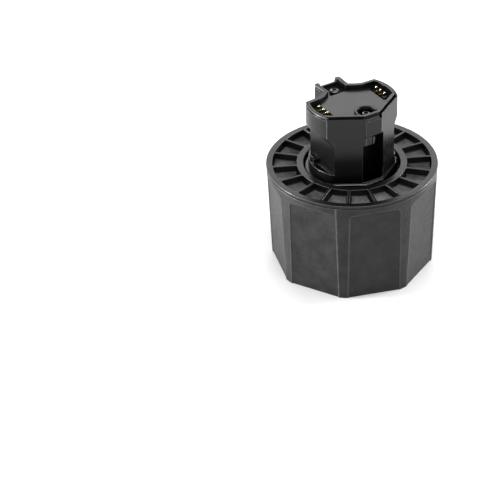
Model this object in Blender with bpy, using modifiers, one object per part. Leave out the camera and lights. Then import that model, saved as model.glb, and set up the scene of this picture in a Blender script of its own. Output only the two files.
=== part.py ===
"""Ring-nut connector adapter, modelled in its own frame.

A post with six spring contacts stands on a plus-shaped key tube with a round multi-pin socket. A ring nut
with a rubber grip turns round the two, held between a collar on the post and a thrust washer.
The origin is on the axis, in the plane of the ring nut's mouth, and +Z points up the post.
Sizes are in millimetres and are turned into metres where the geometry is made.
"""

import math

import bmesh
import bpy
from mathutils import Matrix, Vector

MM = 0.001
GAP = 0.3
ROUND_STEPS = 72
SMALL_STEPS = 16

# Heights of the whole object
RING_TOP = 46.3
POST_TOP = 76.3

# Ring nut
FLANGE_R = 36.0
FLANGE_EDGE = 1.2
HOLE_R = 20.3
POCKET_COUNT = 18
POCKET_IN_R = 23.2
POCKET_OUT_R = 33.3
POCKET_DEPTH = 3.0
POCKET_RIB = 1.0
POCKET_PHASE = 13.4
NUT_R = 29.9
NUT_STEP_R = 34.3
ROOF_LOW = 39.9
LIP_R = 18.8
LIP_TOP = 41.5
THREAD_ROOT_R = 26.8
THREAD_CREST_R = 24.7
THREAD_PITCH = 5.5
THREAD_TURNS = 3.5
THREAD_START = 4.8
THREAD_STEPS = 36

# Rubber grip
GRIP_TOP_R = 35.9
GRIP_BOTTOM_R = 34.2
GRIP_IN_R = 30.3
FACET_COUNT = 8
FACET_PHASE = 5.0
FACET_HALF = (10.85, 10.55)
FACET_APOTHEM = (31.95, 33.7)
FACET_TOP = 40.8

# Post outline, drawn for u > 0 from its front (-w) to its rear (+w)
LUG_R = 19.2
LUG_ANGLES = (-23.7, 27.0)
FRONT_HALF = 3.9
FRONT_W = -16.3
BASE_R = 18.2
LEDGE_Z = 49.3
GROOVE_U = 14.9
GROOVE_TOP = (62.7, 67.0)
STOP_W = (2.8, 5.8)
STOP_TOP = 52.4
POST_LOW = 36.3
COLLAR = (41.85, 45.0)
COLLAR_R = 19.8
COLLAR_STEP = 0.9
FRONT_RIM = 75.5
FRONT_RIM_W = -7.4
HOUSING_WALL = 0.9
CHANNEL = (9.0, -8.0, 9.5)
SLOT_HALF = 5.0
SLOT_BACK_W = -12.8
SLOT_TOP = (62.9, 66.8)
SLOT_STEP_U = -0.6
REAR_GAP_HALF = 4.0

# Contact deck and what it carries
DECK_LOW = 71.1
DECK_FLOOR = 73.3
PLATEAU = 74.6
PLATEAU_HALF = [(3.4, -14.3), (11.6, -9.6), (12.8, -8.0), (12.8, 6.3), (5.2, 9.6)]
WELL_IN_U = 12.2
WELL_HALF = 5.2
WELL_FLOOR = 72.2
FRONT_TAB = ((-3.5, -16.2, 74.2), (2.7, -13.4, 75.3))
SCREW_LIP_R = (3.55, 4.85)
SCREW_LIP_TOP = 75.7
SCREW_BORE_R = 3.3
DECK_INSET = 1.25
RECESS_INSET = 2.6
SEAT_Z = 70.8
BOARD = (69.0, 70.4)
CAVITY_LOW = 68.6
CONTACT_U = 14.2
CONTACT_PITCH = 3.0
BARREL_R = 1.0
BORE_R = 0.72
PLUNGER_R = 0.6
BARREL = (68.7, 74.4)
PLUNGER = (72.3, 76.5)
BORE_LOW = 69.4
SPRING_COIL_R = 0.5
SPRING_WIRE_R = 0.11
SPRING_TURNS = 4
FRONT_SCREW_W = -10.4
REAR_SCREW_W = 13.0
SCREW_HEAD_R = 1.9
DECK_SCREW_HEAD_R = 2.15
SCREW_SHANK_R = 1.0
SCREW_PILOT_R = 1.35

# Key tube, socket and the parts inside it
KEY_LOW = 0.6
KEY_WALL = 1.6
KEY_FLANGE = (33.0, 36.0)
KEY_FLANGE_R = 24.2
KEY_CAP = 31.4
KEY_HOLE_R = 5.7
PLATE = (4.0, 6.0)
PLATE_SCREW_U = 9.3
BOSS_R = 3.0
HUB_SCREW = (13.3, 3.5)
SHIELD_R = (5.0, 5.5)
SHIELD = (3.2, 12.0)
INSERT_R = 4.65
INSERT = (4.0, 11.8)
SOCKET_BOARD = (12.3, 13.9)
HARNESS_R = 1.8

# Parts between the hub and the ring nut
WASHER = (38.1, 39.6)
WASHER_R = (18.7, 24.0)
WAVE_R = (18.9, 23.6)
WAVE_THICK = 0.4
WAVE_HALF_HEIGHT = 0.5
WAVE_COUNT = 4


# ---------------------------------------------------------------- scene and material helpers

def clear_scene():
    for obj in list(bpy.data.objects):
        bpy.data.objects.remove(obj, do_unlink=True)


def new_collection(name):
    collection = bpy.data.collections.new(name)
    bpy.context.scene.collection.children.link(collection)
    return collection


def material(name, colour, roughness, metallic=0.0):
    made = bpy.data.materials.new(name)
    made.use_nodes = True
    shader = made.node_tree.nodes["Principled BSDF"]
    shader.inputs["Base Color"].default_value = (*colour, 1.0)
    shader.inputs["Roughness"].default_value = roughness
    shader.inputs["Metallic"].default_value = metallic
    return made


def move_to(obj, collection):
    for old in list(obj.users_collection):
        old.objects.unlink(obj)
    collection.objects.link(obj)


def node(obj, name, finish):
    """Makes the object a named node of the part with its own material, shaded smooth with sharp edges."""
    obj.name = name
    move_to(obj, PARTS)
    colour, roughness, metallic = FINISHES[finish]
    obj.data.materials.clear()
    obj.data.materials.append(material(name + "_" + finish, colour, roughness, metallic))
    obj.data.shade_smooth()
    obj.data.set_sharp_from_angle(angle=math.radians(30))
    return obj


# ---------------------------------------------------------------- shape helpers

def new_object(name, mesh):
    obj = bpy.data.objects.new(name, mesh)
    bpy.context.scene.collection.objects.link(obj)
    return obj


def as_mesh(obj):
    """Turns a curve, or an object with modifiers, into a plain closed mesh in the same place."""
    bpy.context.view_layer.update()
    graph = bpy.context.evaluated_depsgraph_get()
    mesh = bpy.data.meshes.new_from_object(obj.evaluated_get(graph))
    bm = bmesh.new()
    bm.from_mesh(mesh)
    bmesh.ops.remove_doubles(bm, verts=bm.verts, dist=1e-7)
    bmesh.ops.dissolve_limit(bm, angle_limit=math.radians(0.05), verts=bm.verts, edges=bm.edges)
    bmesh.ops.recalc_face_normals(bm, faces=bm.faces)
    bm.to_mesh(mesh)
    bm.free()
    solid = new_object(obj.name, mesh)
    solid.matrix_world = obj.matrix_world.copy()
    bpy.data.objects.remove(obj, do_unlink=True)
    return solid


def arc(radius, start, end, count, centre=(0.0, 0.0)):
    """Points along an arc, with its angles in degrees."""
    points = []
    for step in range(count + 1):
        angle = math.radians(start + (end - start) * step / count)
        points.append((centre[0] + radius * math.cos(angle), centre[1] + radius * math.sin(angle)))
    return points


def circle(radius, count, centre=(0.0, 0.0)):
    """Points round a circle."""
    return arc(radius, 0.0, 360.0 - 360.0 / count, count - 1, centre)


def mirrored(half):
    """Closes an outline drawn on the +X side with its mirror image."""
    return half + [(-x, y) for x, y in reversed(half)]


def meet(first, second):
    """Point where two lines cross, each given by a point and a direction."""
    (start, along), (other, across) = first, second
    turn = along.x * across.y - along.y * across.x
    apart = other - start
    return start + along * ((apart.x * across.y - apart.y * across.x) / turn)


def inset(outline, distance):
    """Moves each side of a counter-clockwise outline inwards, and drops a side that has no room left."""
    sides = []
    for index, point in enumerate(outline):
        start, end = Vector(point), Vector(outline[(index + 1) % len(outline)])
        along = (end - start).normalized()
        sides.append((start + Vector((-along.y, along.x)) * distance, along))
    while True:
        corners = [meet(sides[index - 1], side) for index, side in enumerate(sides)]
        after = corners[1:] + corners[:1]
        lost = [index for index, (_, along) in enumerate(sides)
                if (after[index] - corners[index]).dot(along) <= 0]
        if not lost:
            return [tuple(corner) for corner in corners]
        del sides[lost[0]]


def plate(name, outlines, low, high, along="Z"):
    """Prism between two heights, with holes for outlines in the first. Along Y, they are in X and Z."""
    curve = bpy.data.curves.new(name, "CURVE")
    curve.dimensions = "2D"
    curve.fill_mode = "BOTH"
    curve.extrude = (high - low) / 2 * MM
    for outline in outlines:
        spline = curve.splines.new("POLY")
        spline.points.add(len(outline) - 1)
        for point, (x, y) in zip(spline.points, outline):
            point.co = (x * MM, y * MM, 0.0, 1.0)
        spline.use_cyclic_u = True
    obj = new_object(name, curve)
    middle = (low + high) / 2 * MM
    if along == "Y":
        obj.rotation_euler.x = math.radians(90)
        obj.location.y = middle
    else:
        obj.location.z = middle
    return as_mesh(obj)


def turned(name, profile, steps=ROUND_STEPS, centre=(0.0, 0.0), closed=True):
    """Turns a profile of (radius, height) round a vertical axis. A profile ending on the axis is open."""
    edges = [(index, index + 1) for index in range(len(profile) - 1)]
    if closed:
        edges.append((len(profile) - 1, 0))
    mesh = bpy.data.meshes.new(name)
    mesh.from_pydata([(r * MM, 0.0, z * MM) for r, z in profile], edges, [])
    obj = new_object(name, mesh)
    obj.location = (centre[0] * MM, centre[1] * MM, 0.0)
    screw = obj.modifiers.new("turn", "SCREW")
    screw.steps = steps
    screw.render_steps = steps
    screw.use_merge_vertices = True
    screw.merge_threshold = 0.00001
    return as_mesh(obj)


def tube_ring(name, radii, heights, steps=ROUND_STEPS, centre=(0.0, 0.0)):
    """Plain ring between two radii and two heights."""
    (inner, outer), (low, high) = radii, heights
    return turned(name, [(outer, high), (outer, low), (inner, low), (inner, high)], steps, centre)


def rod(name, radius, heights, steps=SMALL_STEPS, centre=(0.0, 0.0)):
    """Plain upright cylinder."""
    low, high = heights
    profile = [(0.0, high), (radius, high), (radius, low), (0.0, low)]
    return turned(name, profile, steps, centre, closed=False)


def box(name, low, high):
    """Box between two corners."""
    mesh = bpy.data.meshes.new(name)
    bm = bmesh.new()
    size = (Vector(high) - Vector(low)) * MM
    middle = (Vector(high) + Vector(low)) / 2 * MM
    place = Matrix.Translation(middle) @ Matrix.Diagonal((*size, 1.0))
    bmesh.ops.create_cube(bm, size=1.0, matrix=place)
    bm.to_mesh(mesh)
    bm.free()
    return new_object(name, mesh)


def combine(obj, others, operation):
    """Joins or cuts with a Boolean for each helper, which then stays hidden with the cutters."""
    for other in others:
        modifier = obj.modifiers.new(other.name, "BOOLEAN")
        modifier.operation = operation
        modifier.solver = "EXACT"
        modifier.object = other
        other.hide_render = True
        other.display_type = "WIRE"
        move_to(other, CUTTERS)
    return obj


def join(obj, *others):
    return combine(obj, others, "UNION")


def cut(obj, *others):
    return combine(obj, others, "DIFFERENCE")


# ---------------------------------------------------------------- outlines

def meet_circle(start, direction, radius):
    """Point where a line that starts inside a circle about the origin leaves it."""
    start, direction = Vector(start), Vector(direction).normalized()
    along = start.dot(direction)
    reach = -along + math.sqrt(along * along - start.dot(start) + radius * radius)
    return tuple(start + direction * reach)


LUG_CORNER = arc(LUG_R, LUG_ANGLES[0], 0, 1)[0]
FLANK = (LUG_CORNER[0] - FRONT_HALF, LUG_CORNER[1] - FRONT_W)
BASE_CORNER = meet_circle((FRONT_HALF, FRONT_W), FLANK, BASE_R)
BASE_ANGLE = math.degrees(math.atan2(BASE_CORNER[1], BASE_CORNER[0]))

POST_OUTLINE = mirrored(
    [(FRONT_HALF, FRONT_W)]
    + arc(LUG_R, *LUG_ANGLES, 10)
    + [(10.9, 9.1), (8.5, 10.2), (6.0, 11.9), (6.3, 18.4), (5.6, 19.1)]
)
BASE_OUTLINE = mirrored([(FRONT_HALF, FRONT_W)] + arc(BASE_R, BASE_ANGLE, 89.0, 24))
KEY_OUTLINE = mirrored(
    [(5.2, -18.3), (5.5, -10.4), (6.5, -8.3), (8.6, -7.4)]
    + arc(17.5, -25, 25, 10)
    + [(8.6, 7.4), (6.5, 8.3), (5.5, 10.4), (5.2, 18.3)]
)
PLATE_OUTLINE = mirrored(
    [(2.6, -7.5), (5.0, -6.4), (7.6, -5.3), (12.6, -5.3), (14.4, -3.4)]
    + [(14.9, 0.0), (14.4, 3.4), (12.6, 5.3), (7.6, 5.3), (5.0, 6.4), (2.6, 7.5)]
)


# ---------------------------------------------------------------- ring nut and its grip

def pocket_outline(middle):
    """Outline of one flange pocket, whose long sides run along its ribs."""
    half_out = 180 / POCKET_COUNT - math.degrees(math.asin(POCKET_RIB / 2 / POCKET_OUT_R))
    half_in = 180 / POCKET_COUNT - math.degrees(math.asin(POCKET_RIB / 2 / POCKET_IN_R))
    outer = arc(POCKET_OUT_R, middle - half_out, middle + half_out, 4)
    inner = arc(POCKET_IN_R, middle + half_in, middle - half_in, 3)
    return outer + inner


def thread_helix():
    """Trapezoid thread swept up the nut's inner wall, sunk a little into it."""
    profile = [(THREAD_ROOT_R + 0.5, -1.7), (THREAD_ROOT_R + 0.5, 1.7)]
    profile += [(THREAD_CREST_R, 0.65), (THREAD_CREST_R, -0.65)]
    bm = bmesh.new()
    loop = [bm.verts.new((r * MM, 0.0, (z + THREAD_START) * MM)) for r, z in profile]
    edges = [bm.edges.new((loop[index - 1], loop[index])) for index in range(len(loop))]
    steps = round(THREAD_STEPS * THREAD_TURNS)
    bmesh.ops.spin(
        bm,
        geom=loop + edges,
        cent=(0.0, 0.0, 0.0),
        axis=(0.0, 0.0, 1.0),
        dvec=(0.0, 0.0, THREAD_PITCH / THREAD_STEPS * MM),
        angle=math.tau * THREAD_TURNS,
        steps=steps,
        use_duplicate=False,
    )
    bmesh.ops.holes_fill(bm, edges=[edge for edge in bm.edges if edge.is_boundary], sides=0)
    bmesh.ops.recalc_face_normals(bm, faces=bm.faces)
    mesh = bpy.data.meshes.new("thread_helix")
    bm.to_mesh(mesh)
    bm.free()
    return new_object("thread_helix", mesh)


def make_ring_nut():
    edge_low = RING_TOP - FLANGE_EDGE
    nut = turned("ring_nut_body", [
        (FLANGE_R - 0.5, RING_TOP),
        (FLANGE_R, RING_TOP - 0.5),
        (FLANGE_R, edge_low),
        (NUT_STEP_R, edge_low),
        (NUT_STEP_R, 42.4),
        (32.4, 41.3),
        (NUT_R, 41.3),
        (NUT_R, 0.4),
        (NUT_R - 0.4, 0.2),
        (THREAD_ROOT_R, 2.9),
        (THREAD_ROOT_R, ROOF_LOW),
        (LIP_R, ROOF_LOW),
        (LIP_R, LIP_TOP),
        (HOLE_R, LIP_TOP),
        (HOLE_R, RING_TOP - 0.4),
        (HOLE_R + 0.4, RING_TOP),
    ])
    step = 360 / POCKET_COUNT
    outlines = [pocket_outline(POCKET_PHASE + step * (index + 0.5)) for index in range(POCKET_COUNT)]
    pockets = plate("flange_pockets", outlines, RING_TOP - POCKET_DEPTH, RING_TOP + 1.0)
    join(nut, thread_helix())
    cut(nut, pockets)
    return node(nut, "ring_nut", "hard_plastic")


def facet_cutter(index):
    """Tapered block that planes one flat of the grip and leaves a sloped edge above it."""
    spread, rise, depth = 3.2, 2.86, 4.0
    bm = bmesh.new()
    bmesh.ops.create_cube(bm, size=2.0)
    for vert in bm.verts:
        at_top, outside = int(vert.co.z > 0), int(vert.co.y > 0)
        side = math.copysign(1.0, vert.co.x)
        x = FACET_HALF[at_top] + spread * outside
        y = FACET_APOTHEM[at_top] + depth * outside
        z = (FACET_TOP + rise * outside) if at_top else -1.0
        vert.co = (side * x * MM, y * MM, z * MM)
    upper = [edge for edge in bm.edges
             if min(vert.co.z for vert in edge.verts) > 0.03
             and abs(edge.verts[0].co.y - edge.verts[1].co.y) > 0.001]
    bmesh.ops.bevel(bm, geom=upper, offset=1.4 * MM, segments=3, profile=0.5, affect="EDGES")
    turn = math.radians(FACET_PHASE + 360 / FACET_COUNT * (index + 0.5) - 90)
    bmesh.ops.transform(bm, matrix=Matrix.Rotation(turn, 4, "Z"), verts=bm.verts)
    mesh = bpy.data.meshes.new(f"facet_{index + 1}")
    bm.to_mesh(mesh)
    bm.free()
    return new_object(mesh.name, mesh)


def make_grip_sleeve():
    top = RING_TOP - FLANGE_EDGE - GAP
    inner_step = NUT_STEP_R + 0.35
    sleeve = turned("grip_body", [
        (GRIP_TOP_R - 0.3, top),
        (GRIP_TOP_R, top - 0.3),
        (GRIP_BOTTOM_R, 0.4),
        (GRIP_BOTTOM_R - 0.4, 0.0),
        (GRIP_IN_R + 0.3, 0.0),
        (GRIP_IN_R, 0.3),
        (GRIP_IN_R, 40.95),
        (32.5, 40.95),
        (inner_step, 42.2),
        (inner_step, top),
    ])
    cut(sleeve, *[facet_cutter(index) for index in range(FACET_COUNT)])
    return node(sleeve, "grip_sleeve", "rubber")


# ---------------------------------------------------------------- post

def collar_outline():
    """Circle of the collar, flattened beside the post's front flats."""
    flats = inset(BASE_OUTLINE, -COLLAR_STEP)
    outline = []
    for x, y in flats:
        reach = math.hypot(x, y)
        scale = COLLAR_R / reach if y > BASE_CORNER[1] + 1.5 or reach > COLLAR_R else 1.0
        outline.append((x * scale, y * scale))
    return outline


def groove_cutter(side):
    """Bayonet groove under a lug: flat inner wall, ledge below, and a sloped underside of the lug above."""
    low, high = GROOVE_TOP
    outline = [
        (GROOVE_U, LEDGE_Z), (GROOVE_U, low), (GROOVE_U + 0.5, low + 1.2), (17.6, high - 0.5),
        (19.6, high), (24.0, high), (24.0, LEDGE_Z),
    ]
    points = [(side * u, z) for u, z in outline]
    return plate("groove_left" if side < 0 else "groove_right", [points], -13.0, 13.0, along="Y")


def groove_stop(side):
    """Small block on the ledge that a locking jaw turns against."""
    inner, outer = GROOVE_U - 0.5, GROOVE_U + 2.4
    low_u, high_u = sorted((side * inner, side * outer))
    name = "stop_left" if side < 0 else "stop_right"
    return box(name, (low_u, STOP_W[0], LEDGE_Z - 0.5), (high_u, STOP_W[1], STOP_TOP))


def screw_holes(name, radius, low, high):
    return [rod(f"{name}_{index}", radius, (low, high), centre=(0.0, w))
            for index, w in enumerate((FRONT_SCREW_W, REAR_SCREW_W))]


def hub_screw_places():
    u, w = HUB_SCREW
    return [(u, w), (-u, w), (-u, -w), (u, -w)]


def make_post_housing():
    post = plate("post_body", [POST_OUTLINE], LEDGE_Z - 0.5, POST_TOP)
    base = plate("post_base", [BASE_OUTLINE], POST_LOW, LEDGE_Z)
    collar = plate("post_collar", [collar_outline()], *COLLAR)
    join(post, base, collar)
    cut(post, groove_cutter(1), groove_cutter(-1))
    join(post, groove_stop(1), groove_stop(-1))
    half, front, rear = CHANNEL
    slot_low, slot_high = SLOT_TOP
    cut(
        post,
        plate("deck_pocket", [inset(POST_OUTLINE, HOUSING_WALL)], SEAT_Z, POST_TOP + 2),
        plate("board_cavity", [inset(POST_OUTLINE, 2.2)], CAVITY_LOW, SEAT_Z + 1),
        box("wire_channel", (-half, front, POST_LOW - 2), (half, rear, CAVITY_LOW + 1)),
        box("latch_slot", (-SLOT_HALF, -20.0, COLLAR[1] + 0.4), (SLOT_HALF, SLOT_BACK_W, slot_low)),
        box("latch_slot_high", (SLOT_STEP_U, -20.0, slot_low - 2.0), (SLOT_HALF, SLOT_BACK_W, slot_high)),
        box("front_step", (-20.5, -20.5, FRONT_RIM), (20.5, FRONT_RIM_W, POST_TOP + 2)),
        box("front_notch", (-3.8, -20.0, 73.9), (3.8, -13.6, POST_TOP + 2)),
        box("rear_notch", (-REAR_GAP_HALF, 15.0, 74.4), (REAR_GAP_HALF, 21.0, POST_TOP + 2)),
        *screw_holes("deck_pilot", SCREW_PILOT_R, 61.5, CAVITY_LOW + 1),
    )
    pilots = [circle(1.6, 12, place) for place in hub_screw_places()]
    cut(post, plate("hub_pilots", pilots, POST_LOW - 1, 46.5))
    return node(post, "post_housing", "hard_plastic")


# ---------------------------------------------------------------- contact deck

def contact_places():
    rows = (-CONTACT_PITCH, 0.0, CONTACT_PITCH)
    return [(-CONTACT_U, w) for w in rows] + [(CONTACT_U, w) for w in rows]


def make_contact_deck():
    deck = plate("deck_body", [inset(POST_OUTLINE, DECK_INSET)], DECK_LOW, POST_TOP)
    cut(deck, plate("deck_recess", [inset(POST_OUTLINE, RECESS_INSET)], DECK_FLOOR, POST_TOP + 2))
    plateau = plate("deck_plateau", [mirrored(PLATEAU_HALF)], DECK_LOW + 0.5, PLATEAU)
    front_screw = (0.0, FRONT_SCREW_W)
    lip = tube_ring("screw_lip", SCREW_LIP_R, (PLATEAU - 0.6, SCREW_LIP_TOP), 32, front_screw)
    cut(lip, box("lip_opening", (-6.0, -18.0, PLATEAU - 2), (6.0, FRONT_SCREW_W - 1.6, POST_TOP)))
    join(deck, plateau, box("front_tab", *FRONT_TAB), lip)
    bore = rod("screw_bore", SCREW_BORE_R, (DECK_FLOOR, POST_TOP + 1), 32, front_screw)
    well_low, well_high = (WELL_IN_U, -WELL_HALF, WELL_FLOOR), (16.3, WELL_HALF, POST_TOP)
    cut(
        deck,
        bore,
        box("rear_gap", (-REAR_GAP_HALF, 14.8, 75.0), (REAR_GAP_HALF, 21.0, POST_TOP + 2)),
        box("well_right", well_low, well_high),
        box("well_left", (-well_high[0], *well_low[1:]), (-well_low[0], *well_high[1:])),
        *screw_holes("deck_hole", 1.4, DECK_LOW - 1, POST_TOP),
    )
    holes = [circle(BARREL_R + GAP, 12, place) for place in contact_places()]
    cut(deck, plate("barrel_holes", holes, DECK_LOW - 1, 73.0))
    return node(deck, "contact_deck", "satin_plastic")


def make_contact_board():
    holes = [circle(1.5, 16, (0.0, w)) for w in (FRONT_SCREW_W, REAR_SCREW_W)]
    holes += [circle(BARREL_R + GAP, 12, place) for place in contact_places()]
    board = plate("board_body", [inset(POST_OUTLINE, 2.7)] + holes, *BOARD)
    return node(board, "contact_board", "board")


def make_contacts():
    """One barrel, one plunger on its own axis and one coil spring for each contact."""
    low, high = BARREL
    for number, place in enumerate(contact_places(), start=1):
        barrel = turned(f"barrel_{number}", [
            (0.0, high - 0.3), (BORE_R, high - 0.3), (BORE_R, high), (BARREL_R - 0.15, high),
            (BARREL_R, high - 0.15), (BARREL_R, low), (0.0, low),
        ], 12, place, closed=False)
        cut(barrel, rod(f"bore_{number}", BORE_R, (BORE_LOW, high + 0.5), 12, place))
        node(barrel, f"contact_barrel_{number}", "gold")

        tip = PLUNGER[1] - PLUNGER_R
        dome = [(PLUNGER_R * math.sin(turn), tip + PLUNGER_R * math.cos(turn))
                for turn in (0, math.radians(30), math.radians(60), math.radians(90))]
        plunger = turned(f"plunger_{number}", dome + [(PLUNGER_R, PLUNGER[0]), (0.0, PLUNGER[0])],
                         12, place, closed=False)
        node(plunger, f"contact_plunger_{number}", "gold")

        node(make_coil(f"coil_{number}", place), f"contact_spring_{number}", "steel")


def make_coil(name, place):
    """Round-wire compression spring standing in its barrel under the plunger."""
    per_turn = 6
    bottom, top = BORE_LOW + 0.25, PLUNGER[0] - 0.25
    count = SPRING_TURNS * per_turn
    curve = bpy.data.curves.new(name, "CURVE")
    curve.dimensions = "3D"
    curve.bevel_depth = SPRING_WIRE_R * MM
    curve.bevel_resolution = 1
    curve.use_fill_caps = True
    spline = curve.splines.new("POLY")
    spline.points.add(count)
    for step, point in enumerate(spline.points):
        angle = math.tau * step / per_turn
        height = bottom + (top - bottom) * step / count
        x, y = SPRING_COIL_R * math.cos(angle), SPRING_COIL_R * math.sin(angle)
        point.co = (x * MM, y * MM, height * MM, 1.0)
    coil = new_object(name, curve)
    coil.location = (place[0] * MM, place[1] * MM, 0.0)
    return as_mesh(coil)


def make_screw(name, place, seat, length, head_r, head_h, shank_r, upward):
    """Screw with a cross recess. An upward one has its head on top, the other its head below."""
    sign = 1 if upward else -1
    profile = [
        (0.0, head_h), (head_r - 0.5, head_h), (head_r, head_h - 0.45), (head_r, 0.0),
        (shank_r, 0.0), (shank_r, -length + 0.5), (shank_r - 0.4, -length), (0.0, -length),
    ]
    points = [(r, seat + sign * z) for r, z in profile]
    if not upward:
        points.reverse()
    screw = turned(name + "_body", points, 16, place, closed=False)
    arm, width, depth = head_r * 0.62, head_r * 0.17, head_h * 0.65
    x, y = place
    ends = sorted((seat + sign * (head_h - depth), seat + sign * (head_h + 0.5)))
    across = box(name + "_slot_x", (x - arm, y - width, ends[0]), (x + arm, y + width, ends[1]))
    along = box(name + "_slot_y", (x - width, y - arm, ends[0]), (x + width, y + arm, ends[1]))
    cut(screw, across, along)
    return node(screw, name, "steel")


def make_screws():
    seat = DECK_FLOOR + GAP
    for name, w in (("deck_screw_front", FRONT_SCREW_W), ("deck_screw_rear", REAR_SCREW_W)):
        make_screw(name, (0.0, w), seat, 11.0, DECK_SCREW_HEAD_R, 1.2, SCREW_SHANK_R, upward=True)
    for name, u in (("plate_screw_left", -PLATE_SCREW_U), ("plate_screw_right", PLATE_SCREW_U)):
        make_screw(name, (u, 0.0), PLATE[0] + 0.8, 8.0, SCREW_HEAD_R, 0.9, 0.9, upward=False)
    for number, place in enumerate(hub_screw_places(), start=1):
        seat = KEY_CAP - GAP
        make_screw(f"hub_screw_{number}", place, seat, 14.0, SCREW_HEAD_R, 1.8, 1.2, upward=False)


# ---------------------------------------------------------------- key tube and socket

def plate_screw_places():
    return [(-PLATE_SCREW_U, 0.0), (PLATE_SCREW_U, 0.0)]


def make_key_tube():
    """Plus-shaped tube, open at the mouth, with a flange on top and two bosses for the socket plate."""
    tube = plate("key_body", [KEY_OUTLINE], KEY_LOW, KEY_FLANGE[0] + 0.5)
    join(tube, plate("key_flange", [circle(KEY_FLANGE_R, ROUND_STEPS)], *KEY_FLANGE))
    cut(tube, plate("key_hollow", [inset(KEY_OUTLINE, KEY_WALL)], KEY_LOW - 2, KEY_CAP))
    bosses = [circle(BOSS_R, 24, place) for place in plate_screw_places()]
    pilots = [circle(1.25, 12, place) for place in plate_screw_places()]
    holes = [circle(KEY_HOLE_R, 36)] + [circle(1.6, 12, place) for place in hub_screw_places()]
    join(tube, plate("bosses", bosses, PLATE[1] + GAP, KEY_CAP + 0.5))
    cut(tube, plate("boss_pilots", pilots, PLATE[1], 15.0))
    cut(tube, plate("flange_holes", holes, KEY_CAP - 1, KEY_FLANGE[1] + 1))
    return node(tube, "key_tube", "hard_plastic")


def make_socket_plate():
    holes = [circle(SHIELD_R[1] + GAP, 48)] + [circle(1.25, 12, place) for place in plate_screw_places()]
    socket_plate = plate("socket_plate_body", [PLATE_OUTLINE] + holes, *PLATE)
    bores = [circle(2.5, 24, place) for place in plate_screw_places()]
    cut(socket_plate, plate("plate_bores", bores, PLATE[0] - 1, PLATE[0] + 1.1))
    return node(socket_plate, "socket_plate", "satin_plastic")


def pin_places():
    """Eight pins of a round socket in rows of two, three and three."""
    rows = ((-2.3, (-1.3, 1.3)), (-0.1, (-2.7, 0.0, 2.7)), (2.1, (-2.0, 0.0, 2.0)))
    return [(u, w) for w, row in rows for u in row]


def make_socket():
    inner, outer = SHIELD_R
    shield = tube_ring("shield_body", (inner, outer), SHIELD, 48)
    cut(shield, box("shield_notch", (-1.4, 3.5, SHIELD[0] - 1), (1.4, 7.0, SHIELD[0] + 2.5)))
    node(shield, "socket_shield", "steel")

    insert = rod("insert_body", INSERT_R, INSERT, 48)
    for index, place in enumerate(pin_places()):
        cut(insert, rod(f"pin_hole_{index}", 0.42, (INSERT[0] - 1, INSERT[0] + 3.0), 8, place))
    cut(insert, box("insert_key", (-0.9, -4.2, INSERT[0] - 1), (0.9, -3.2, INSERT[0] + 3.0)))
    node(insert, "socket_insert", "dark_plastic")

    board = plate("socket_board_body", [arc(5.9, 22.5, 337.5, 7)], *SOCKET_BOARD)
    node(board, "socket_board", "board")


def make_harness():
    """Bundle of wires from the socket's board up to the contact board, with a little slack."""
    low, high = SOCKET_BOARD[1] + GAP, BOARD[0] - GAP
    count = 18
    curve = bpy.data.curves.new("harness", "CURVE")
    curve.dimensions = "3D"
    curve.bevel_depth = HARNESS_R * MM
    curve.bevel_resolution = 2
    curve.use_fill_caps = True
    spline = curve.splines.new("POLY")
    spline.points.add(count)
    for step, point in enumerate(spline.points):
        part = step / count
        sway = math.sin(math.pi * part)
        x, y = 2.2 * sway * math.sin(math.tau * part), 1.8 * sway * math.cos(math.tau * part) - 0.4 * sway
        point.co = (x * MM, y * MM, (low + (high - low) * part) * MM, 1.0)
    return node(as_mesh(new_object("harness", curve)), "wire_harness", "cable")


# ---------------------------------------------------------------- washer and wave spring

def make_wave_spring():
    """Flat ring of spring steel with waves round it."""
    steps = 48
    inner, outer = WAVE_R
    middle = (KEY_FLANGE[1] + WASHER[0]) / 2
    ring = tube_ring("wave_body", (inner, outer), (middle - WAVE_THICK / 2, middle + WAVE_THICK / 2), steps)
    for vert in ring.data.vertices:
        turn = math.atan2(vert.co.y, vert.co.x)
        vert.co.z += WAVE_HALF_HEIGHT * math.cos(WAVE_COUNT * turn) * MM
    return node(ring, "wave_spring", "steel")


FINISHES = {
    "hard_plastic": ((0.022, 0.022, 0.024), 0.42, 0.0),
    "satin_plastic": ((0.05, 0.05, 0.052), 0.32, 0.0),
    "dark_plastic": ((0.015, 0.015, 0.016), 0.5, 0.0),
    "rubber": ((0.03, 0.03, 0.031), 0.75, 0.0),
    "gold": ((0.86, 0.62, 0.22), 0.25, 1.0),
    "steel": ((0.62, 0.62, 0.63), 0.3, 1.0),
    "board": ((0.03, 0.16, 0.07), 0.5, 0.0),
    "cable": ((0.08, 0.08, 0.09), 0.55, 0.0),
}

clear_scene()
PARTS = new_collection("ring_nut_adapter")
CUTTERS = new_collection("ring_nut_adapter_cutters")
CUTTERS.hide_render = True

make_ring_nut()
make_grip_sleeve()
make_post_housing()
make_contact_deck()
make_contact_board()
make_contacts()
make_screws()
make_key_tube()
make_socket_plate()
make_socket()
make_harness()
node(tube_ring("washer_body", WASHER_R, WASHER), "thrust_washer", "dark_plastic")
make_wave_spring()
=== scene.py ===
"""Looks of the ring-nut connector adapter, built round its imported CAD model.

The grip, the ring nut, the post, the contact deck, the key tube and the small parts get finished
meshes that ride on the CAD bodies. Sizes are in millimetres. Outer sizes are read from the frame's
nodes, and a mesh is turned into metres where it is made.
"""

import math

import bmesh
import bpy
import numpy as np
from mathutils import Matrix, Vector


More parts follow.
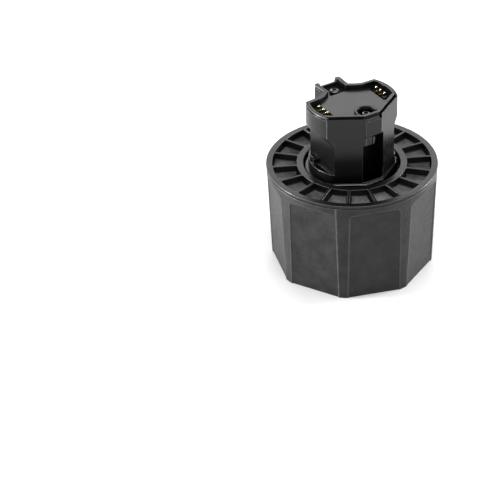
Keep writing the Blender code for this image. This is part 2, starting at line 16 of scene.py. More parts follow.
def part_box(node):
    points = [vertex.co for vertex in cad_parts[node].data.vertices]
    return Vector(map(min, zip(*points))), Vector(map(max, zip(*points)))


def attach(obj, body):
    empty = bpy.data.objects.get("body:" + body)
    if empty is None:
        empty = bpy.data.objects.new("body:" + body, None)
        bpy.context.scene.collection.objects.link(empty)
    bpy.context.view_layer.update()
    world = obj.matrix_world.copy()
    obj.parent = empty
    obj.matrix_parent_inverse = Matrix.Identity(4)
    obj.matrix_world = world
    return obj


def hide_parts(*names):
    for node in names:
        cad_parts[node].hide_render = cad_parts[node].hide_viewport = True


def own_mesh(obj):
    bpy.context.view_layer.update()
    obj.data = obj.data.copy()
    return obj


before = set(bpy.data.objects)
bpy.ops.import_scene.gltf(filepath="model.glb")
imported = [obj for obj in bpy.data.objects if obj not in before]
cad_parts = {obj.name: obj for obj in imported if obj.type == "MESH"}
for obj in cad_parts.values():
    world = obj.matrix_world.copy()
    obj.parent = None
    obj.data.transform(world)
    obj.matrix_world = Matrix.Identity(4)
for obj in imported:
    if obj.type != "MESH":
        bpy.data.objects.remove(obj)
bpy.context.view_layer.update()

MM = 0.001
CREASE = 50.0
# Name of the mesh attribute for edges painted lighter, partly rub marks and partly a painted highlight.
RUB_AND_HIGHLIGHT = "edge_rub_and_highlight"


def size_of(node):
    """Lowest and highest corner of a CAD node, in millimetres."""
    low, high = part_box(node)
    return low / MM, high / MM


NUT_HIGH = size_of("ring_nut")[1]
DECK_LOW, DECK_HIGH = size_of("contact_deck")
PLATE_LOW, PLATE_HIGH = size_of("socket_plate")
SHIELD_LOW, SHIELD_HIGH = size_of("socket_shield")
INSERT_LOW, INSERT_HIGH = size_of("socket_insert")

# Ring nut
RING_TOP, FLANGE_R = NUT_HIGH.z, NUT_HIGH.x
FLANGE_EDGE, HOLE_R = 1.2, 20.3
LIP_R, LIP_TOP, ROOF_LOW = 18.8, 41.5, 39.9
NUT_R, NUT_FOOT, NUT_STEP_R = 29.9, 0.2, 34.3
POCKETS, POCKET_PHASE = 18, 13.4
POCKET_IN_R, POCKET_OUT_R, POCKET_DEPTH, POCKET_RIB = 23.2, 33.3, 3.0, 1.0
THREAD_ROOT_R, THREAD_CREST_R, THREAD_PITCH, THREAD_TURNS, THREAD_START = 26.8, 24.7, 5.5, 3.5, 4.8

# The flange's top is a cell round each pocket, with these steps along its arcs and along its sides.
CELL_IN_R, CELL_OUT_R = 22.2, 34.6
ARC_STEPS, SIDE_STEPS = 16, 12

# Rubber grip
GRIP_TOP = size_of("grip_sleeve")[1].z
GRIP_TOP_R, GRIP_BOTTOM_R, GRIP_IN_R = 35.9, 34.2, 30.3
FACETS, FACET_PHASE, FACET_HALF, FACET_APOTHEM, FACET_TOP = 8, 5.0, (10.85, 10.55), (31.95, 33.7), 40.8

# Post
POST_TOP, HOUSING_TOP = DECK_HIGH.z, 75.5
LUG_R, LUG_ANGLES = 19.2, (-23.7, 27.0)
FRONT_HALF, FRONT_W = 3.9, -16.3
BASE_R, BASE_LOW, LEDGE_Z = 18.2, size_of("post_housing")[0].z, 49.3
GROOVE_U, GROOVE_TOP = 14.9, (62.7, 67.0)
STOP_W, STOP_TOP = (2.8, 5.8), 52.4
COLLAR, COLLAR_R, COLLAR_STEP = (41.85, 45.0), 19.8, 0.9
SLOT_HALF, SLOT_REAR_W, SLOT_TOP, SLOT_STEP_U = 5.0, -9.2, (62.9, 66.8), -0.6
SLOT_FOOT_HALF, SLOT_FOOT = 4.7, (42.9, 46.0)
CHANNEL_HALF, CHANNEL_W, CHANNEL_TOP = 9.0, (-8.0, 9.5), 69.6
BOARD_WALL, BOARD_LOW = 2.2, 68.6
FRONT_NOTCH_HALF, FRONT_NOTCH_W, FRONT_NOTCH_Z = 3.8, -13.6, 73.9
REAR_GAP_HALF, REAR_NOTCH_W, REAR_NOTCH_Z = 4.0, 15.0, 74.4

# Contact deck. An inset pair is for the lobes and for the front.
DECK_FLOOR, PLATEAU, SEAT_Z = 73.3, 74.6, 70.8
WALL_INSET, DECK_INSET, RECESS_INSET = (0.65, 0.55), (0.75, 1.35), (1.7, 2.75)
WELL_U, WELL_HALF, WELL_FLOOR = (12.2, 17.0), 5.2, 72.2
FRONT_TAB = (-3.9, -16.25, 74.0), (2.7, -13.4, 75.3)
REAR_GAP_W, REAR_GAP_Z = 14.8, 75.0
CONTACT_U, CONTACT_PITCH = 14.2, 3.0
BARREL_HOLE_R, BARREL_R, BARREL_BORE_R, PLUNGER_R = 1.3, 1.0, 0.72, 0.6
FRONT_SCREW_W, REAR_SCREW_W, SCREW_HOLE_R = -10.4, 13.0, 1.4
SCREW_LIP_R, SCREW_LIP_TOP, SCREW_BORE_R = (3.55, 4.85), 75.7, 3.3

# Springs
SPRING_COIL_R = 0.5
WAVE_R = (18.9, 23.6)

# Key tube and socket
KEY_FOOT = size_of("key_tube")[0].z
KEY_WALL, KEY_FLANGE, KEY_FLANGE_R, KEY_CAP = 1.6, (33.0, 36.0), 24.2, 31.4
PLATE_SCREW_U, PLATE_BORE_R, BOSS_R = 9.3, 2.5, 3.0
PILOT_R, PILOT_TOP, WIRE_HOLE_R = 1.25, 15.0, 5.7
PIN_R, PIN_DEPTH = 0.45, 3.0

# Where a cutter that comes from outside starts, and how far one reaches past a face
OUTSIDE, PAST = 20.0, 2.0


# ---------- mesh helpers

def new_object(name, data):
    obj = bpy.data.objects.new(name, data)
    bpy.context.scene.collection.objects.link(obj)
    return obj


def mesh_object(name, points, faces):
    """Object from points in millimetres and faces, welded, with its normals pointing out."""
    mesh = bpy.data.meshes.new(name)
    mesh.from_pydata([(x * MM, y * MM, z * MM) for x, y, z in points], [], faces)
    bm = bmesh.new()
    bm.from_mesh(mesh)
    bmesh.ops.remove_doubles(bm, verts=bm.verts, dist=2e-6)
    bmesh.ops.recalc_face_normals(bm, faces=bm.faces)
    bm.to_mesh(mesh)
    bm.free()
    return new_object(name, mesh)


def loft(rings, joined_ends=False, caps=True):
    """Points and faces of a surface through closed rings that have the same number of points."""
    count = len(rings[0])
    points = [point for ring in rings for point in ring]
    pairs = list(zip(range(len(rings)), range(1, len(rings))))
    if joined_ends:
        pairs.append((len(rings) - 1, 0))
    faces = []
    for low, high in pairs:
        for step in range(count):
            after = (step + 1) % count
            below, above = low * count, high * count
            faces.append((below + step, below + after, above + after, above + step))
    if caps and not joined_ends:
        faces.append(tuple(range(count)))
        faces.append(tuple(range((len(rings) - 1) * count, len(rings) * count)))
    return points, faces


def arc(radius, start, end, count, centre=(0.0, 0.0)):
    """Points along an arc, with its angles in degrees."""
    x, y = centre
    angles = [math.radians(start + (end - start) * step / count) for step in range(count + 1)]
    return [(x + radius * math.cos(angle), y + radius * math.sin(angle)) for angle in angles]


def circle(radius, count, centre=(0.0, 0.0)):
    return arc(radius, 0.0, 360.0 - 360.0 / count, count - 1, centre)


def mirrored(half):
    """Closes an outline drawn on the +X side with its mirror image."""
    return half + [(-x, y) for x, y in reversed(half)]


def mirrored_twice(quarter, middle):
    """Closes an outline drawn where X and Y are positive, with what joins its halves on the +X side."""
    return mirrored([(x, -y) for x, y in reversed(quarter)] + middle + quarter)


def rounded(outline, radius, steps=4, closed=True, sharpest=12.0):
    """Outline with each corner that turns by more than the sharpest angle replaced by a smooth curve."""
    points = [Vector(point) for point in outline]
    count = len(points)
    made = []
    for index, point in enumerate(points):
        if not closed and index in (0, count - 1):
            made.append(tuple(point))
            continue
        before, after = points[index - 1] - point, points[(index + 1) % count] - point
        turn = math.pi - before.angle(after, math.pi)
        if turn < math.radians(sharpest):
            made.append(tuple(point))
            continue
        reach = min(radius * math.tan(turn / 2), 0.45 * before.length, 0.45 * after.length)
        start, end = point + before.normalized() * reach, point + after.normalized() * reach
        for step in range(steps + 1):
            part = step / steps
            made.append(tuple(start * (1 - part) ** 2 + point * 2 * part * (1 - part) + end * part ** 2))
    return made


def meet(first, second):
    """Point where two lines cross, each given by a point and a direction."""
    (start, along), (other, across) = first, second
    turn = along.x * across.y - along.y * across.x
    apart = other - start
    return start + along * ((apart.x * across.y - apart.y * across.x) / turn)


def inset(outline, distance, front=None, front_below=-7.5):
    """Moves each side of a counter-clockwise outline inwards, and drops a side that has no room left.

    The sides in front of a line may have their own distance.
    """
    sides = []
    for index, point in enumerate(outline):
        start, end = Vector(point), Vector(outline[(index + 1) % len(outline)])
        along = (end - start).normalized()
        ahead = front is not None and (start.y + end.y) / 2 < front_below
        reach = front if ahead else distance
        sides.append((start + Vector((-along.y, along.x)) * reach, along))
    while True:
        corners = [meet(sides[index - 1], side) for index, side in enumerate(sides)]
        after = corners[1:] + corners[:1]
        lost = [i for i, side in enumerate(sides) if (after[i] - corners[i]).dot(side[1]) <= 0]
        if not lost:
            return [tuple(corner) for corner in corners]
        del sides[lost[0]]


def turned(name, profile, steps, centre):
    """Solid turned round an upright axis, from a profile that starts and ends on the axis."""
    least = 1e-4
    rings = [[(x, y, z) for x, y in circle(max(r, least), steps, centre)] for r, z in profile]
    return mesh_object(name, *loft(rings))


def tube_ring(name, radii, heights, edge, steps, centre=(0.0, 0.0)):
    """Ring between two radii and two heights, with rounded edges."""
    (inner, outer), (low, high) = radii, heights
    profile = rounded([(outer, high), (outer, low), (inner, low), (inner, high)], edge, 3)
    rings = [[(x, y, z) for x, y in circle(r, steps, centre)] for r, z in profile]
    return mesh_object(name, *loft(rings, joined_ends=True))


def prism(name, outline, low, high, along="Z"):
    """Straight solid between two heights. Along Y, the outline is in X and Z."""
    if along == "Y":
        rings = [[(x, level, z) for x, z in outline] for level in (low, high)]
    else:
        rings = [[(x, y, level) for x, y in outline] for level in (low, high)]
    return mesh_object(name, *loft(rings))


def box(name, low, high):
    """Box between two corners."""
    (x0, y0, z0), (x1, y1, z1) = low, high
    return prism(name, [(x0, y0), (x1, y0), (x1, y1), (x0, y1)], z0, z1)


def centred_box(name, half, y, z):
    """Box centred on X, between two places along Y and two heights."""
    return box(name, (-half, y[0], z[0]), (half, y[1], z[1]))


def boolean(obj, others, operation):
    """Joins or cuts with each helper, which is then removed."""
    for other in others:
        modifier = obj.modifiers.new(other.name, "BOOLEAN")
        modifier.operation = operation
        modifier.solver = "EXACT"
        modifier.object = other
        apply_modifiers(obj)
        bpy.data.objects.remove(other, do_unlink=True)
    return obj


def join(obj, *others):
    boolean(obj, others, "UNION")


def cut(obj, *others):
    return boolean(obj, others, "DIFFERENCE")


def apply_modifiers(obj):
    bpy.context.view_layer.update()
    graph = bpy.context.evaluated_depsgraph_get()
    mesh = bpy.data.meshes.new_from_object(obj.evaluated_get(graph))
    obj.modifiers.clear()
    obj.data = mesh


def clean(obj):
    """Merges what a Boolean left in one plane, so that an edge bevel runs cleanly."""
    bm = bmesh.new()
    bm.from_mesh(obj.data)
    bmesh.ops.remove_doubles(bm, verts=bm.verts, dist=4e-6)
    flat = math.radians(0.1)
    bmesh.ops.dissolve_limit(bm, angle_limit=flat, verts=bm.verts, edges=bm.edges)
    bmesh.ops.dissolve_degenerate(bm, dist=2e-6, edges=bm.edges)
    bmesh.ops.recalc_face_normals(bm, faces=bm.faces)
    bm.to_mesh(obj.data)
    bm.free()


def soften(obj, width, segments=2, angle=32.0):
    """Rounds the sharp edges of a finished solid."""
    clean(obj)
    bevel = obj.modifiers.new("edges", "BEVEL")
    bevel.width = width * MM
    bevel.segments = segments
    bevel.limit_method = "ANGLE"
    bevel.angle_limit = math.radians(angle)
    bevel.use_clamp_overlap = False
    bevel.miter_outer = "MITER_ARC"
    bevel.loop_slide = True
    apply_modifiers(obj)


def plane_faces(bm):
    """Indices of the faces that are large and belong to no curved surface."""
    least_area, least_bend, most_bend = 2e-6, math.radians(1.2), math.radians(15)
    found = set()
    for face in bm.faces:
        area = face.calc_area()
        beside = [other for edge in face.edges for other in edge.link_faces if other is not face]
        large = [other for other in beside if other.calc_area() > area / 2]
        bends = [other.normal.angle(face.normal, 0.0) for other in large]
        curved = any(least_bend < bend < most_bend for bend in bends)
        if area > least_area and not curved:
            found.add(face.index)
    return found


def corner_normal(corner, planes):
    """Normal of a large plane that meets at this corner, or else the mean of the faces round it."""
    face, crease = corner.face, math.radians(CREASE)
    if face.index in planes:
        return face.normal.copy()
    turns = [(other.normal.angle(face.normal, 0.0), other) for other in corner.vert.link_faces]
    near = [(turn, other) for turn, other in turns if turn < crease]
    flat = [(turn, other) for turn, other in near if other.index in planes]
    if flat:
        return min(flat, key=lambda pair: pair[0])[1].normal.copy()
    return sum((other.normal * other.calc_area() for _, other in near), Vector()).normalized()


def set_normals(mesh):
    """Keeps large planes flat up to their rounded edges, smooths the rest, and marks outer edges that are
    painted lighter, partly as rub marks and partly as a painted highlight.
    """
    bm = bmesh.new()
    bm.from_mesh(mesh)
    bm.normal_update()
    planes = plane_faces(bm)
    least_bend, widest, largest = math.radians(12), 0.4 * MM, 1.3e-6
    ridges = [edge for edge in bm.edges if edge.is_convex and edge.calc_face_angle(0.0) > least_bend]
    ridge = {vert for edge in ridges for vert in edge.verts}
    normals, rub_and_highlight_marks = [], []
    for face in bm.faces:
        narrow = min(edge.calc_length() for edge in face.edges) < widest
        small = narrow and face.calc_area() < largest and face.index not in planes
        # Small faces along a convex edge are marked for lighter paint, partly rub marks and partly a
        # painted highlight.
        rubbed_and_highlit = small and ridge.issuperset(face.verts)
        for corner in face.loops:
            rub_and_highlight_marks.append(1.0 if rubbed_and_highlit else 0.0)
            normals.append(corner_normal(corner, planes))
    bm.free()
    mesh.attributes.new(RUB_AND_HIGHLIGHT, "FLOAT", "CORNER").data.foreach_set("value", rub_and_highlight_marks)
    mesh.normals_split_custom_set(normals)


def dress(obj, name, body, nodes, paint, planes=True):
    """Names a finished piece, gives it its material, ties it to its CAD body and hides the CAD nodes it
    replaces.
    """
    obj.name = name
    obj.data.name = name
    obj.data.materials.clear()
    obj.data.materials.append(paint)
    obj.data.shade_smooth()
    if planes:
        set_normals(obj.data)
    else:
        obj.data.set_sharp_from_angle(angle=math.radians(CREASE))
    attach(obj, body)
    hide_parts(*nodes)


# ---------- materials

def shader_of(name):
    """New node material with its tree, its shader and an object-space coordinate."""
    paint = bpy.data.materials.new(name)
    paint.use_nodes = True
    tree = paint.node_tree
    place = tree.nodes.new("ShaderNodeTexCoord").outputs["Object"]
    return paint, tree, tree.nodes["Principled BSDF"], place


def noise(tree, place, scale, detail, stretch=None, rough=0.6):
    """Noise value. Scale is in features to the metre, and stretch scales the axes."""
    if stretch:
        mapping = tree.nodes.new("ShaderNodeMapping")
        mapping.inputs["Scale"].default_value = stretch
        tree.links.new(place, mapping.inputs["Vector"])
        place = mapping.outputs["Vector"]
    made = tree.nodes.new("ShaderNodeTexNoise")
    made.inputs["Scale"].default_value = scale
    made.inputs["Detail"].default_value = detail
    made.inputs["Roughness"].default_value = rough
    tree.links.new(place, made.inputs["Vector"])
    return made.outputs["Fac"]


def span(tree, value, start, end, low, high):
    """Maps a value between two limits onto two others, clamped."""
    made = tree.nodes.new("ShaderNodeMapRange")
    for socket, number in zip(made.inputs[1:5], (start, end, low, high)):
        socket.default_value = number
    tree.links.new(value, made.inputs["Value"])
    return made.outputs["Result"]


def blend_colour(tree, share, first, second):
    """Colour between two others. Each is a plain colour or another node's output."""
    made = tree.nodes.new("ShaderNodeMix")
    made.data_type = "RGBA"
    tree.links.new(share, made.inputs["Factor"])
    for socket, colour in zip((made.inputs[6], made.inputs[7]), (first, second)):
        if isinstance(colour, tuple):
            socket.default_value = (*colour, 1.0)
        else:
            tree.links.new(colour, socket)
    return made.outputs[2]


def combine(tree, operation, first, second):
    made = tree.nodes.new("ShaderNodeMath")
    made.operation = operation
    tree.links.new(first, made.inputs[0])
    tree.links.new(second, made.inputs[1])
    return made.outputs[0]


def bump(tree, height, distance, strength, under=None):
    made = tree.nodes.new("ShaderNodeBump")
    made.inputs["Distance"].default_value = distance
    made.inputs["Strength"].default_value = strength
    tree.links.new(height, made.inputs["Height"])
    if under:
        tree.links.new(under, made.inputs["Normal"])
    return made.outputs["Normal"]


def rubbed_and_highlit_edges(tree, edges):
    """How much an edge is painted lighter, partly as rub marks and partly as a painted highlight: from the
    mesh's own attribute, or from its curvature between two limits.
    """
    if edges:
        curvature = tree.nodes.new("ShaderNodeNewGeometry").outputs["Pointiness"]
        return span(tree, curvature, *edges, 0.0, 1.0)
    attribute = tree.nodes.new("ShaderNodeAttribute")
    attribute.attribute_name = RUB_AND_HIGHLIGHT
    return attribute.outputs["Fac"]


def moulded(name, dark, light, rubbed_and_highlit, roughness, grain, depth, edges=None, cloud=90.0, swell=0.00002):
    """Moulded plastic or rubber: fine grain, cloudy tone, lighter edges that are partly rub marks and
    partly a painted highlight, and a faint scuff pattern.

    Grain and cloud are in features to the metre. Depth and swell are their heights in metres.
    """
    paint, tree, shader, place = shader_of(name)
    clouds = noise(tree, place, cloud, 4.0)
    fine = noise(tree, place, grain, 3.0)
    scuffs = noise(tree, place, 420.0, 5.0, rough=0.75)
    tone = blend_colour(tree, span(tree, clouds, 0.3, 0.7, 0.0, 1.0), dark, light)
    speck = span(tree, fine, 0.35, 0.75, 0.0, 0.35)
    tone = blend_colour(tree, speck, tone, light)
    scuffed = span(tree, scuffs, 0.35, 0.6, 0.45, 1.0)
    # Painted highlight along the edges, partly rub marks, broken up by the scuffs.
    broken_rub_and_highlight = combine(tree, "MULTIPLY", rubbed_and_highlit_edges(tree, edges), scuffed)
    tree.links.new(blend_colour(tree, broken_rub_and_highlight, tone, (rubbed_and_highlit, rubbed_and_highlit, rubbed_and_highlit)), shader.inputs["Base Color"])
    low, high = roughness
    rough = span(tree, combine(tree, "ADD", clouds, scuffs), 0.75, 1.25, low, high)
    tree.links.new(rough, shader.inputs["Roughness"])
    shader.inputs["Specular IOR Level"].default_value = 0.7
    waves = bump(tree, clouds, swell, 0.4)
    tree.links.new(bump(tree, fine, depth, 0.8, waves), shader.inputs["Normal"])
    return paint


def metal(name, dark, light, roughness, brushed=(1.0, 1.0, 1.0)):
    """Bare or plated metal with fine turning marks and a patchy sheen."""
    paint, tree, shader, place = shader_of(name)
    patches = noise(tree, place, 700.0, 4.0)
    marks = noise(tree, place, 3800.0, 2.0, stretch=brushed)
    tone = blend_colour(tree, span(tree, patches, 0.3, 0.7, 0.0, 1.0), dark, light)
    tree.links.new(tone, shader.inputs["Base Color"])
    shader.inputs["Metallic"].default_value = 1.0
    low, high = roughness
    tree.links.new(span(tree, marks, 0.3, 0.7, low, high), shader.inputs["Roughness"])
    tree.links.new(bump(tree, marks, 0.00001, 0.5), shader.inputs["Normal"])
    return paint


def laminate(name, dark, light, copper):
    """Circuit board: solder resist over a weave, with copper runs showing through."""
    paint, tree, shader, place = shader_of(name)
    weave = tree.nodes.new("ShaderNodeTexBrick")
    weave.inputs["Scale"].default_value = 450.0
    weave.inputs["Mortar Size"].default_value = 0.03
    tree.links.new(place, weave.inputs["Vector"])
    runs = noise(tree, place, 260.0, 1.0, stretch=(1.0, 0.15, 1.0))
    base = blend_colour(tree, weave.outputs["Fac"], dark, light)
    shown = span(tree, runs, 0.54, 0.56, 0.0, 0.7)
    tree.links.new(blend_colour(tree, shown, base, copper), shader.inputs["Base Color"])
    tree.links.new(span(tree, runs, 0.4, 0.6, 0.3, 0.45), shader.inputs["Roughness"])
    tree.links.new(bump(tree, runs, 0.00004, 0.6), shader.inputs["Normal"])
    return paint


# The third value is the grey of the lighter edges: partly rub marks, partly a painted highlight.
HARD = moulded("black_nylon", (0.004, 0.004, 0.0041), (0.0055, 0.0055, 0.0057), 0.16,
               (0.26, 0.275), 2600.0, 0.00001)
RING = moulded("black_ring_plastic", (0.004, 0.004, 0.0042), (0.009, 0.009, 0.0093), 0.12,
               (0.31, 0.37), 1900.0, 0.00003)
# Pocket floor: real coarse grain, painted a much lighter grey than the ring, as painted glints and
# brightness of a lit floor.
POCKET_FLOOR_GLINTS = moulded("rough_pocket_floor_painted_glints", (0.02, 0.02, 0.0203), (0.3, 0.3, 0.3), 0.1,
                 (0.3, 0.45), 1100.0, 0.0008)
SATIN = moulded("satin_deck_plastic", (0.012, 0.012, 0.0123), (0.016, 0.016, 0.0163), 0.08,
                (0.29, 0.33), 3000.0, 0.000008)
RUBBER = moulded("grip_rubber", (0.003, 0.003, 0.0031), (0.03, 0.03, 0.0303), 0.09,
                 (0.34, 0.5), 1600.0, 0.00016, (0.502, 0.53), 160.0, 0.0004)
DARK = moulded("dark_insert_plastic", (0.01, 0.01, 0.011), (0.018, 0.018, 0.018), 0.05,
               (0.42, 0.58), 2200.0, 0.00002)
CABLE = moulded("wire_jackets", (0.03, 0.03, 0.034), (0.06, 0.06, 0.065), 0.1,
                (0.45, 0.6), 900.0, 0.00006)
STEEL = metal("screw_steel", (0.15, 0.15, 0.155), (0.26, 0.26, 0.265), (0.22, 0.34))
SPRING = metal("spring_steel", (0.3, 0.3, 0.32), (0.46, 0.46, 0.47), (0.25, 0.4), (1.0, 1.0, 4.0))
SHIELD_METAL = metal("plated_shield", (0.4, 0.4, 0.41), (0.55, 0.55, 0.56), (0.28, 0.42), (1.0, 1.0, 0.2))
GOLD = metal("contact_gold", (0.62, 0.56, 0.4), (0.8, 0.74, 0.58), (0.16, 0.28))
# The barrels are the same gold plating as the plungers, painted darker as painted shade on their sides.
SHADED_BARREL_GOLD = metal("barrel_gold_painted_shade", (0.22, 0.18, 0.1), (0.34, 0.28, 0.17), (0.24, 0.38))
BOARD = laminate("circuit_board", (0.01, 0.07, 0.03), (0.015, 0.09, 0.04), (0.1, 0.16, 0.05))


# ---------- rubber grip

def ease_min(first, second, width):
    """Smaller of two values, rounded where they meet."""
    share = np.clip(0.5 + 0.5 * (second - first) / width, 0.0, 1.0)
    return second * (1 - share) + first * share - width * share * (1 - share)


def facet_columns():
    """Places of the columns across one flat and just beyond it, as shares of the flat's half width."""
    across = np.sin(np.linspace(-0.5, 0.5, 19) * math.pi) * 0.94
    edge = np.array([0.955, 0.97, 0.985, 1.0, 1.02, 1.045, 1.07, 1.1, 1.13, 1.16, 1.19, 1.22])
    return np.concatenate([-edge[::-1], across, edge])


def make_grip():
    """Rubber sleeve with eight flats sunk between raised strips, as one surface through rings."""
    bottom_edge, top_edge, facet_foot = 0.35, 0.3, -1.0
    flat = facet_columns()
    strip = np.linspace(0.0, 1.0, 8)[1:-1]
    # Bands of rings: first height, last height and number. They crowd where the surface bends.
    bands = [(0.0, 0.4, 6), (1.0, 36.0, 24), (36.6, 43.2, 34), (43.5, GRIP_TOP - 0.35, 4),
             (GRIP_TOP - top_edge, GRIP_TOP, 5)]
    heights = np.concatenate([np.linspace(*band) for band in bands])
    rings = []
    for z in heights:
        part = (z - facet_foot) / (FACET_TOP - facet_foot)
        half = FACET_HALF[0] + (FACET_HALF[1] - FACET_HALF[0]) * part
        apothem = FACET_APOTHEM[0] + (FACET_APOTHEM[1] - FACET_APOTHEM[0]) * part
        cone = GRIP_BOTTOM_R + (GRIP_TOP_R - GRIP_BOTTOM_R) * z / (GRIP_TOP - top_edge)
        reach = np.arctan(half * flat / apothem)
        limit = math.tau / FACETS - reach[-1]
        reach = np.concatenate([reach, reach[-1] + (limit - reach[-1]) * strip])
        ring = []
        for facet in range(FACETS):
            centre = math.radians(FACET_PHASE + 360 / FACETS * (facet + 0.5))
            ring.append(grip_radii(reach, z, half, apothem, cone, centre))
        radii, angles = (np.concatenate(part) for part in zip(*ring))
        radii = radii - edge_cut(bottom_edge, bottom_edge - z) - edge_cut(top_edge, z - GRIP_TOP + top_edge)
        rings.append([(r * math.cos(a), r * math.sin(a), z) for r, a in zip(radii, angles)])
    step_r, shoulder_r, shoulder, mouth_edge = NUT_STEP_R + 0.35, 32.5, (40.95, 42.2), 0.3
    inner = [(step_r, GRIP_TOP), (step_r, shoulder[1]), (shoulder_r, shoulder[0]), (GRIP_IN_R, shoulder[0]),
             (GRIP_IN_R, mouth_edge), (GRIP_IN_R + mouth_edge, 0.0)]
    rings += [[(r * math.cos(a), r * math.sin(a), z) for a in angles] for r, z in inner]
    grip = mesh_object("grip", *loft(rings, joined_ends=True))
    dress(grip, "rubber_grip", "ring", ["grip_sleeve"], RUBBER, planes=False)


def edge_cut(radius, past):
    """How much a round edge takes off, at a distance past where it starts."""
    return radius - math.sqrt(max(0.0, radius ** 2 - max(0.0, past) ** 2))


def grip_radii(reach, z, half, apothem, cone, centre):
    """Radius and angle of each column of one facet and the strip after it, at one height."""
    corner, slope, bank_width, rim_width, scoop_depth = 1.3, 1.3, 0.3, 0.22, 0.22
    fold = math.pi / FACETS
    local = np.where(reach > fold, math.tau / FACETS - reach, reach)
    along = apothem * np.tan(local)
    beside, above = np.abs(along) - half + corner, z - FACET_TOP + corner
    outside = np.hypot(np.maximum(beside, 0.0), np.maximum(above, 0.0))
    distance = outside + np.minimum(np.maximum(beside, above), 0.0) - corner
    scoop = scoop_depth * np.clip(1.0 - (along / half) ** 2, 0.0, 1.0)
    scoop *= math.sin(math.pi * min(1.0, max(0.0, z / FACET_TOP)) ** 1.4)
    flat = apothem / np.cos(local) - scoop * np.clip(-distance, 0.0, 1.0)
    bank = np.maximum(-ease_min(-distance * slope, 0.0, bank_width), 0.0)
    return ease_min(cone, flat + bank, rim_width), centre + reach


# ---------- ring nut

def resampled(points, count, crowd_ends):
    """Points along a line, evenly or crowded towards its ends."""
    line = np.array(points)
    reach = np.concatenate([[0.0], np.cumsum(np.hypot(*np.diff(line, axis=0).T))])
    part = np.linspace(0.0, 1.0, count + 1)
    if crowd_ends:
        part = (1 - np.cos(part * math.pi)) / 2
    return [tuple(np.interp(part * reach[-1], reach, line[:, axis]) for axis in (0, 1))
            for part in part]


def grown(loop, distance):
    """Moves each point of a clockwise loop outwards along its normal."""
    line = np.array(loop)
    along = np.roll(line, -1, axis=0) - np.roll(line, 1, axis=0)
    along /= np.hypot(*along.T)[:, None]
    out = np.stack([-along[:, 1], along[:, 0]], axis=1)
    return line + out * distance


def pocket_sides():
    """Sides of one flange pocket about the X axis, with round corners, clockwise from the outer side."""
    out_steps, in_steps, corner_r = 5, 3, 0.5
    half_out = 180 / POCKETS - math.degrees(math.asin(POCKET_RIB / 2 / POCKET_OUT_R))
    half_in = 180 / POCKETS - math.degrees(math.asin(POCKET_RIB / 2 / POCKET_IN_R))
    outer = arc(POCKET_OUT_R, half_out, -half_out, out_steps)
    inner = arc(POCKET_IN_R, -half_in, half_in, in_steps)
    loop = rounded(outer + inner, corner_r, 8, sharpest=30.0)
    ends = [outer[0], outer[-1], inner[0], inner[-1]]
    breaks = [min(range(len(loop)), key=lambda i: math.dist(loop[i], end)) for end in ends]
    sides = []
    for start, stop in zip(breaks, breaks[1:] + [breaks[0] + len(loop)]):
        sides.append([loop[i % len(loop)] for i in range(start, stop + 1)])
    return sides


def patch(loop, across, along):
    """Grid that fills a loop of four sides. Its points follow both pairs of opposite sides."""
    line = np.array(loop)
    first, last = line[:across + 1], line[2 * across + along:across + along - 1:-1]
    near, far = np.roll(line, -1, axis=0)[:2 * across + along - 2:-1], line[across:across + along + 1]
    points = []
    for step in range(along + 1):
        t = step / along
        for place in range(across + 1):
            s = place / across
            bent = (1 - t) * first[place] + t * last[place] + (1 - s) * near[step] + s * far[step]
            flat = (1 - t) * ((1 - s) * first[0] + s * first[-1]) + t * ((1 - s) * last[0] + s * last[-1])
            points.append(tuple(bent - flat))
    row = across + 1
    starts = [step * row + place for step in range(along) for place in range(across)]
    return points, [(a, a + 1, a + row + 1, a + row) for a in starts]


def cell_sides():
    """Border of the cell round one pocket, in the same order as the pocket's own sides."""
    half = 180 / POCKETS
    outer = arc(CELL_OUT_R, half, -half, ARC_STEPS)
    inner = arc(CELL_IN_R, -half, half, ARC_STEPS)
    down = resampled([outer[-1], inner[0]], SIDE_STEPS, False)
    up = resampled([inner[-1], outer[0]], SIDE_STEPS, False)
    return outer[:-1] + down[:-1] + inner[:-1] + up[:-1]


def pocket_cell(turn):
    """Rings of one cell of the flange's top, from its border down into the pocket's floor."""
    loop = []
    for side, count in zip(pocket_sides(), (ARC_STEPS, SIDE_STEPS) * 2):
        loop += resampled(side, count, True)[:-1]
    # How far each ring stands outside the pocket's loop, and its height over the flange's top
    steps = [(0.18, 0.0), (0.055, -0.055), (0.0, -0.18), (-0.05, -POCKET_DEPTH + 0.5),
             (-0.2, -POCKET_DEPTH + 0.15), (-0.55, -POCKET_DEPTH)]
    rings = [[(x, y, RING_TOP) for x, y in cell_sides()]]
    rings += [[(x, y, RING_TOP + drop) for x, y in grown(loop, out)] for out, drop in steps]
    cos, sin = math.cos(turn), math.sin(turn)
    return [[(x * cos - y * sin, x * sin + y * cos, z) for x, y, z in ring] for ring in rings]


def thread_rings():
    """Rings of points along the nut's thread, which grows and fades over its first and last part."""
    steps_a_turn, fade = 72, 30
    count = round(steps_a_turn * THREAD_TURNS)
    rings = []
    for step in range(count + 1):
        angle = math.tau * step / steps_a_turn
        rise = THREAD_START + THREAD_PITCH * step / steps_a_turn
        share = min(1.0, step / fade, (count - step) / fade)
        share = math.sin(share * math.pi / 2)
        crest = THREAD_ROOT_R - (THREAD_ROOT_R - THREAD_CREST_R) * share
        flank = [(crest, 0.3), (crest + 0.08, 0.55), (crest + 0.35, 0.75), (THREAD_ROOT_R - 0.05, 1.55),
                 (THREAD_ROOT_R + 0.3, 1.8)]
        profile = [(r, -z) for r, z in reversed(flank)] + flank
        rings.append([(r * math.cos(angle), r * math.sin(angle), z + rise) for r, z in profile])
    return rings


